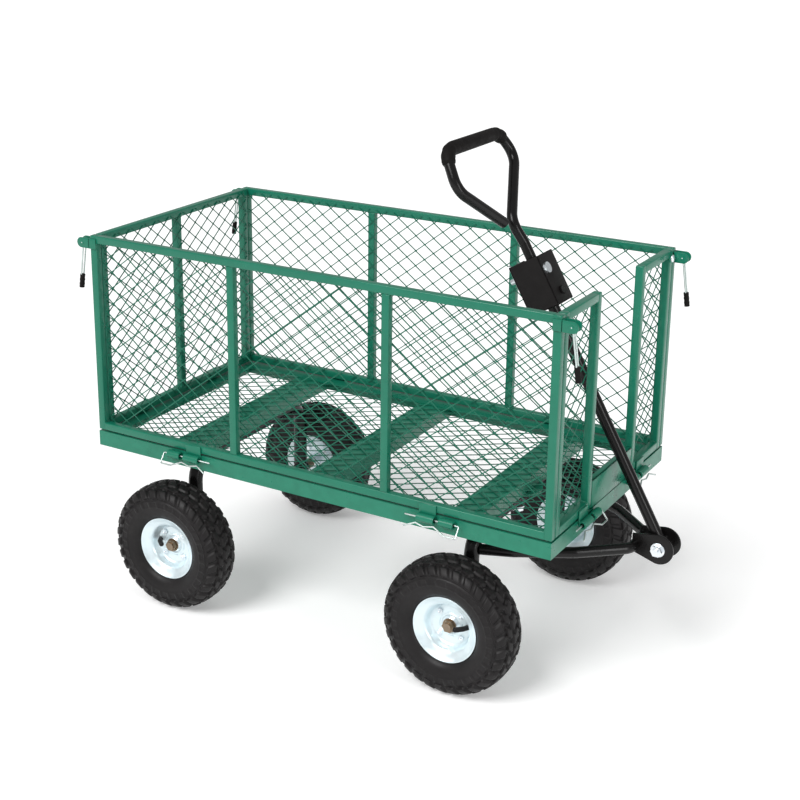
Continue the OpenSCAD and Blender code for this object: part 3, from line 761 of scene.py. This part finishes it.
def hitch_box():
    """The open plate box that holds the tow pin, with two rivets."""
    box = bmesh.new()
    # n runs from the cart's side outwards, s up the handle, in millimetres
    n0, n1, s0, s1, half, plate = -33.7, 28.3, 469, 563, 30.5, 3
    walls = [
        ((n0, -half, s0), (n1, plate - half, s1)),
        ((n0, -half, s0), (n0 + plate, half, s1)),
        ((n1 - plate, -half, s0), (n1, half, s1)),
        ((n0, -half, s0), (n1, half, s0 + plate)),
    ]
    for low, high in walls:
        add_box(box, Vector(low) * MM, Vector(high) * MM, 1.2 * MM, 3, HANDLE)
    rivet = [(0.01, -0.6), (1.6, -0.5), (1.9, 0.2), (0.01, 0.2)]
    for s in (555, 545):
        dot = HANDLE @ Matrix.Translation(Vector((n1, -24, s)) * MM) @ Matrix.Rotation(math.pi / 2, 4, "Z")
        add_lathe(box, [(r * MM, y * MM) for r, y in rivet], 16, True, dot)
    piece("hitch_box_visual", "handle", box, MATTE, "hitch_box")


def d_handle_tube():
    """The bent loop and the bush it flips on."""
    d_tube = bmesh.new()
    line = rounded_line([(0, y * MM, s * MM) for y, s in D_PATH], D_BEND, 12)
    add_tube(d_tube, line, 9.7 * MM, 28, False, HANDLE)
    bush = HANDLE @ Matrix.Translation((-2.7 * MM, 0, 490 * MM)) @ Matrix.Rotation(math.pi / 2, 4, "Z")
    bush_wall = [(r * MM, y * MM) for r, y in ((4.1, -27), (8, -27), (8, 27), (4.1, 27))]
    add_lathe(d_tube, bush_wall, 32, True, bush)
    piece("d_handle_tube_visual", "d_handle", d_tube, BLACK, "d_handle_tube")


def d_handle_grip():
    """The foam sleeve on the loop's top, which starts and stops part-way round the bends."""
    grip = bmesh.new()
    span = rounded_line([(0, y * MM, s * MM) for y, s in D_PATH[3:7]], D_BEND, 12)[6:-3]
    swell = [(12.5 + 0.4 * math.sin((k + 4) * 1.7)) * MM for k in range(len(span))]
    add_tube(grip, span, swell, 32, True, HANDLE)
    piece("d_handle_grip_visual", "d_handle", grip, FOAM, "d_handle_grip")


handle_tube()
hitch_box()
d_handle_tube()
d_handle_grip()


# ---- Axles and tongue ----

LEG_Y = 187 * MM
BOW_Z = 243 * MM


def axle_frame(name, body, x, top):
    """A bent tube support, with sockets for the stub axles."""
    bm = bmesh.new()
    r = 14 * MM
    z = top - r
    foot = AXLE_Z - 18 * MM
    line = [(x, -LEG_Y, foot), (x, -LEG_Y, z), (x, LEG_Y, z), (x, LEG_Y, foot)]
    add_tube(bm, rounded_line(line, 50 * MM, 14), r, 32)
    socket = [(a * MM, b * MM) for a, b in ((8, -16), (12, -16), (13, -15), (13, 15), (12, 16), (8, 16))]
    weld = 13.6 * MM
    for side in (-1, 1):
        middle = Vector((x, side * LEG_Y, AXLE_Z))
        add_lathe(bm, socket, 40, True, Matrix.Translation(middle))
        ring = [
            middle + Vector((weld * math.cos(a), weld * math.sin(a), (13.5 + 1.2 * math.cos(2 * a)) * MM))
            for a in (2 * math.pi * k / 40 for k in range(41))
        ]
        add_tube(bm, ring, 1.6 * MM, 8)
    if body == "front_axle":
        bush = Matrix.Translation((x, 0, 0)) @ Matrix.Rotation(math.pi / 2, 4, "X")
        low, high = top - 32 * MM, top
        add_lathe(bm, [(6.1 * MM, low), (13 * MM, low), (13 * MM, high), (6.1 * MM, high)], 40, True, bush)
    piece(f"{name}_visual", body, bm, BLACK, name)


axle_frame("front_axle_frame", "front_axle", BASKET_X + AXLE_X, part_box("front_axle_frame")[1].z)
axle_frame("rear_axle_frame", "chassis", BASKET_X - AXLE_X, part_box("rear_axle_frame")[1].z)


def tongue_bow():
    """The bent tube from leg to leg that steers the front axle."""
    bow = bmesh.new()
    half = [(AXLE_X / MM + 13, LEG_Y / MM - 6), (372, 160), (468, 104), (545, 36)]
    path = half + [(x, -y) for x, y in reversed(half)]
    line = rounded_line([spot(x, y, BOW_Z / MM) for x, y in path], 28 * MM, 10)
    add_tube(bow, line, 10 * MM, 28)
    piece("tongue_bow_visual", "front_axle", bow, BLACK, "tongue_bow")


def tongue_clevis():
    """The two plates on the bow's nose that hold the handle's pivot."""
    clevis = bmesh.new()
    r = 28 * MM
    angles = [math.radians(-100 + 200 * k / 40) for k in range(41)]
    arc = [(PIVOT.x + r * math.cos(a), PIVOT.z + r * math.sin(a)) for a in angles]
    back = BASKET_X + 541 * MM
    outline = [(back, 231.5 * MM)] + arc + [(back, 265.5 * MM)]
    turn = Matrix(((1, 0, 0, 0), (0, 0, -1, 0), (0, 1, 0, 0), (0, 0, 0, 1)))
    for low in (-21 * MM, 17 * MM):
        add_prism(clevis, outline, low, low + 4 * MM, 0.8 * MM, turn)
    piece("tongue_clevis_visual", "front_axle", clevis, BLACK, "tongue_clevis")


tongue_bow()
tongue_clevis()


# ---- Wheels ----

# The tyre's outer radius and half its width, in millimetres
TYRE_R = 127.0
TYRE_HALF = 41.9
LUGS = 30


def smooth_step(value, low, high):
    """Rises smoothly from 0 at low to 1 at high."""
    t = min(max((value - low) / (high - low), 0), 1)
    return t * t * (3 - 2 * t)


def block(phase, width):
    """1 on a tread block, 0 in the groove beside it; phase runs from 0 to 1 per lug."""
    d = abs((phase % 1) - 0.5)
    return 1 - smooth_step(d, width / 2 - 0.045, width / 2 + 0.045)


def band(value, low, high, soft=0.9):
    """1 between low and high, with soft edges."""
    return smooth_step(value, low - soft, low + soft) * (1 - smooth_step(value, high - soft, high + soft))


def tread(s, turn):
    """Height of the tread at a place s mm round the section from the crown, and a turn from 0 to 1."""
    side = 1 if s > 0 else -1
    a = abs(s)
    lug = turn * LUGS
    zig = 0.16 * math.sin(a * 0.35)
    centre = block(lug + zig * side, 0.72) * (1 - smooth_step(a, 8.0, 10.0))
    middle = block(lug + 0.5 + 0.1 * side * math.sin(a * 0.5), 0.72) * band(a, 12.8, 23.4)
    shoulder = block(lug + 0.02 * side * (a - 34), 0.64) * band(a, 27.0, 44)
    bars = block(lug + 0.5, 0.30) * band(a, 49, 62, 0.6)
    rings = max(band(a, 49, 50.6, 0.5), band(a, 60.4, 62, 0.5)) * block(lug, 0.9)
    return 4.4 * max(centre, middle, shoulder) + 1.5 * max(bars, rings)


def tyre_section():
    """The carcass from bead to bead, as (radius, distance along Y) in mm, and the crown's place in it."""
    section = [
        (56, 21.0), (60, 24.4), (62.9, 26.8), (64.0, 29.0), (66.5, 32.0), (71, 35.2), (78, 37.8), (86, 39.2),
        (94, 39.4), (102, 38.2), (109, 35.8), (114.5, 31.8), (118.5, 26.6), (121.2, 19.6), (122.4, 10.6),
        (122.6, 0.0),
    ]
    fine = []
    for (r0, y0), (r1, y1) in zip(section, section[1:]):
        steps = max(1, round(math.hypot(r1 - r0, y1 - y0) / 1.5))
        fine += [(r0 + (r1 - r0) * k / steps, y0 + (y1 - y0) * k / steps) for k in range(steps)]
    fine.append(section[-1])
    for _ in range(6):
        inside = [
            ((a[0] + 2 * b[0] + c[0]) / 4, (a[1] + 2 * b[1] + c[1]) / 4)
            for a, b, c in zip(fine, fine[1:], fine[2:])
        ]
        fine = [fine[0]] + inside + [fine[-1]]
    return fine + [(r, -y) for r, y in reversed(fine[:-1])], len(fine) - 1


def tyre_mesh():
    """The section turned about the wheel's axis, with the tread raised on it."""
    whole, crown = tyre_section()
    lengths = [0.0]
    for (r0, y0), (r1, y1) in zip(whole, whole[1:]):
        lengths.append(lengths[-1] + math.hypot(r1 - r0, y1 - y0))
    steps = LUGS * 14
    bm = bmesh.new()
    rings = []
    for k in range(steps):
        turn = k / steps
        angle = 2 * math.pi * turn
        ring = []
        for i, (r, y) in enumerate(whole):
            s = lengths[crown] - lengths[i]
            r0, y0 = whole[max(i - 1, 0)]
            r1, y1 = whole[min(i + 1, len(whole) - 1)]
            dr, dy = r1 - r0, y1 - y0
            size = math.hypot(dr, dy)
            h = tread(s, turn)
            out_r = min(r + h * (-dy / size), TYRE_R)
            out_y = max(-TYRE_HALF, min(TYRE_HALF, y + h * (dr / size)))
            ring.append(bm.verts.new(Vector((out_r * math.cos(angle), out_y, out_r * math.sin(angle))) * MM))
        rings.append(ring)
    for k in range(steps):
        here, there = rings[k], rings[(k + 1) % steps]
        for i in range(len(whole) - 1):
            bm.faces.new((here[i], here[i + 1], there[i + 1], there[i]))
        bm.faces.new((here[-1], here[0], there[0], there[-1]))
    bmesh.ops.recalc_face_normals(bm, faces=bm.faces)
    mesh = bpy.data.meshes.new("tyre")
    bm.to_mesh(mesh)
    bm.free()
    return mesh


TYRE_MESH = tyre_mesh()


def tyre(corner, side, m):
    """A tyre, with its valve in front of the axle (side 1) or behind it (side -1)."""
    bm, carcass = bmesh.new(), bmesh.new()
    carcass.from_mesh(TYRE_MESH)
    merge(bm, carcass, m)
    valve_x = side * 36 * MM
    stem = [(valve_x * k, y * MM, z * MM) for k, y, z in ((0.95, 1.5, 3), (0.8, 12, 3), (0.5, 21, 2))]
    add_tube(bm, rounded_line(stem, 5 * MM, 5), 4.7 * MM, 20, True, m)
    piece(f"{corner}_tyre_visual", f"{corner}_wheel", bm, RUBBER, f"{corner}_tyre", sharp=60)


def rim(corner, m):
    """Two pressed dishes back to back, with raised bars between the bolts."""
    bm = bmesh.new()
    outer = [
        (13.5, 2.4), (16.5, 2.4), (17.5, 4.2), (20.5, 4.2), (22.0, 2.6), (30, 2.6), (36, 3.0), (39.5, 5.6),
        (41.5, 10.0), (43.0, 15.6), (45.6, 19.6), (50.6, 22.2), (55.6, 24.8), (59.2, 27.6), (61.0, 28.9),
        (62.4, 28.9), (62.5, 27.4), (61.6, 26.0), (57, 22.6), (51.4, 19.6), (46.6, 16.4), (45.2, 10.0),
        (45.0, 0.0), (13.5, 0.0),
    ]
    # Round the pressed profile off without moving its ends
    for _ in range(2):
        refined = [outer[0]]
        for (r0, y0), (r1, y1) in zip(outer, outer[1:]):
            refined += [((3 * r0 + r1) / 4, (3 * y0 + y1) / 4), ((r0 + 3 * r1) / 4, (y0 + 3 * y1) / 4)]
        outer = refined + [outer[-1]]
    for sign in (-1, 1):
        add_lathe(bm, [(r * MM, sign * y * MM) for r, y in outer], 96, True, m)
    angles = [math.radians(-16 + 4 * k) for k in range(9)]
    ridge = [Vector((22.5 * math.cos(a), 3.3, 22.5 * math.sin(a))) * MM for a in angles]
    for k in range(4):
        add_tube(bm, ridge, 0.9 * MM, 10, True, m @ Matrix.Rotation(math.radians(90 * k), 4, "Y"))
    name = f"{corner}_rim"
    piece(f"{name}_visual", f"{corner}_wheel", bm, RIM_PLATE, name, slot="zinc_plate", sharp=50)


def rim_bolts(corner, m):
    """Four bolts with their nuts, in a ring round the hub."""
    bm = bmesh.new()
    ring_r = 30 * MM
    across = 9.4 * MM
    for k in range(4):
        spin = m @ Matrix.Rotation(math.radians(45 + 90 * k), 4, "Y")
        place = spin @ Matrix.Translation((ring_r, 0, 0)) @ Matrix.Rotation(-math.pi / 2, 4, "X")
        add_hex(bm, across, 2.5 * MM, 6.3 * MM, place)
        add_tube(bm, [(0, 0, 6 * MM), (0, 0, 8 * MM)], 2.8 * MM, 16, True, place)
        add_hex(bm, across, -7.2 * MM, -2.5 * MM, place)
    piece(f"{corner}_rim_bolts_visual", f"{corner}_wheel", bm, ZINC, f"{corner}_rim_bolts")


def hub(corner, centre, left, m):
    """The tube that runs on the stub axle, as long as the CAD's, with chamfered ends."""
    bm = bmesh.new()
    low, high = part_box(f"{corner}_hub")
    y0, y1 = sorted(((low.y - centre.y) * left, (high.y - centre.y) * left))
    profile = [(8.1, y0), (12.8, y0), (13.8, y0 + 1 * MM), (13.8, y1 - 1 * MM), (12.8, y1), (8.1, y1)]
    add_lathe(bm, [(r * MM, y) for r, y in profile], 48, True, m)
    piece(f"{corner}_hub_visual", f"{corner}_wheel", bm, ZINC, f"{corner}_hub")


def wheel(corner):
    """A whole wheel, its outside turned to the cart's outside."""
    front = 1 if "front" in corner else -1
    left = 1 if "left" in corner else -1
    centre = joint_place(f"{corner}_wheel_spin")
    m = Matrix.Translation(centre) @ Matrix.Diagonal((1, left, 1, 1))
    tyre(corner, -front * left, m)
    rim(corner, m)
    rim_bolts(corner, m)
    hub(corner, centre, left, m)


for corner in CORNERS:
    wheel(corner)
bpy.data.meshes.remove(TYRE_MESH)


# ---- CAD nodes that keep their own shape ----

slot_of = {s["node"]: s["material_slot"] for s in frame["record"]["subparts"]}
for name, obj in nodes.items():
    material = AXLE_STEEL if name.endswith("stub_axles") else SLOTS[slot_of[name]]
    if obj.material_slots:
        for place in obj.material_slots:
            place.material = material
    else:
        obj.data.materials.append(material)


# ---- Studio ----

def floor():
    """A wide pale floor that glows a little, so that it stays near white."""
    mesh = bpy.data.meshes.new("floor")
    bm = bmesh.new()
    bmesh.ops.create_grid(bm, x_segments=1, y_segments=1, size=30)
    bm.to_mesh(mesh)
    bm.free()
    obj = bpy.data.objects.new("floor", mesh)
    bpy.context.scene.collection.objects.link(obj)
    n = Nodes("floor")
    n.shader.inputs["Base Color"].default_value = (0.93, 0.93, 0.93, 1)
    n.shader.inputs["Roughness"].default_value = 0.9
    n.shader.inputs["Specular IOR Level"].default_value = 0.1
    n.shader.inputs["Emission Color"].default_value = (1, 1, 1, 1)
    n.shader.inputs["Emission Strength"].default_value = 0.22
    mesh.materials.append(n.material)


def sky():
    """An even white surrounding."""
    world = bpy.data.worlds.new("studio")
    world.use_nodes = True
    back = next(x for x in world.node_tree.nodes if x.type == "BACKGROUND")
    back.inputs["Color"].default_value = (1, 1, 1, 1)
    back.inputs["Strength"].default_value = 0.45
    bpy.context.scene.world = world


def lamps():
    """A wide soft sun, and one softbox in front of the cart."""
    key = bpy.data.lights.new("key", "SUN")
    key.energy = 2.4
    key.angle = math.radians(32)
    key_obj = bpy.data.objects.new("key", key)
    key_obj.rotation_euler = Vector((0.2, 0.75, -0.8)).to_track_quat("-Z", "Y").to_euler()
    bpy.context.scene.collection.objects.link(key_obj)

    front = bpy.data.lights.new("front", "AREA")
    front.shape = "RECTANGLE"
    front.size, front.size_y = 0.9, 2.0
    front.energy = 34
    front_obj = bpy.data.objects.new("front", front)
    front_obj.location = (3.4, -1.4, 1.5)
    aim = Vector((0, 0, 0.35)) - front_obj.location
    front_obj.rotation_euler = aim.to_track_quat("-Z", "Y").to_euler()
    bpy.context.scene.collection.objects.link(front_obj)


def camera():
    """Looks at the cart's right side and front end from a little above."""
    azimuth, elevation, roll = math.radians(31.37), math.radians(17.79), math.radians(0.24)
    right = Vector((math.cos(azimuth), math.sin(azimuth), 0))
    level_back = Vector((math.sin(azimuth), -math.cos(azimuth), 0))
    back = level_back * math.cos(elevation) + Vector((0, 0, math.sin(elevation)))
    up = back.cross(right)
    turned_right = right * math.cos(roll) + up * math.sin(roll)
    turned_up = up * math.cos(roll) - right * math.sin(roll)
    data = bpy.data.cameras.new("camera")
    data.sensor_width = 36
    data.lens = 68.94
    data.shift_x = 0.0531
    data.shift_y = -0.085
    data.clip_start = 0.05
    data.clip_end = 60
    obj = bpy.data.objects.new("camera", data)
    m = Matrix.Identity(4)
    for row in range(3):
        m[row][0], m[row][1], m[row][2] = turned_right[row], turned_up[row], back[row]
    m.translation = Vector((BASKET_X + 1.4178, -2.4030, 1.4387))
    obj.matrix_world = m
    bpy.context.scene.collection.objects.link(obj)
    bpy.context.scene.camera = obj


floor()
sky()
lamps()
camera()
bpy.context.scene.view_settings.view_transform = "Standard"
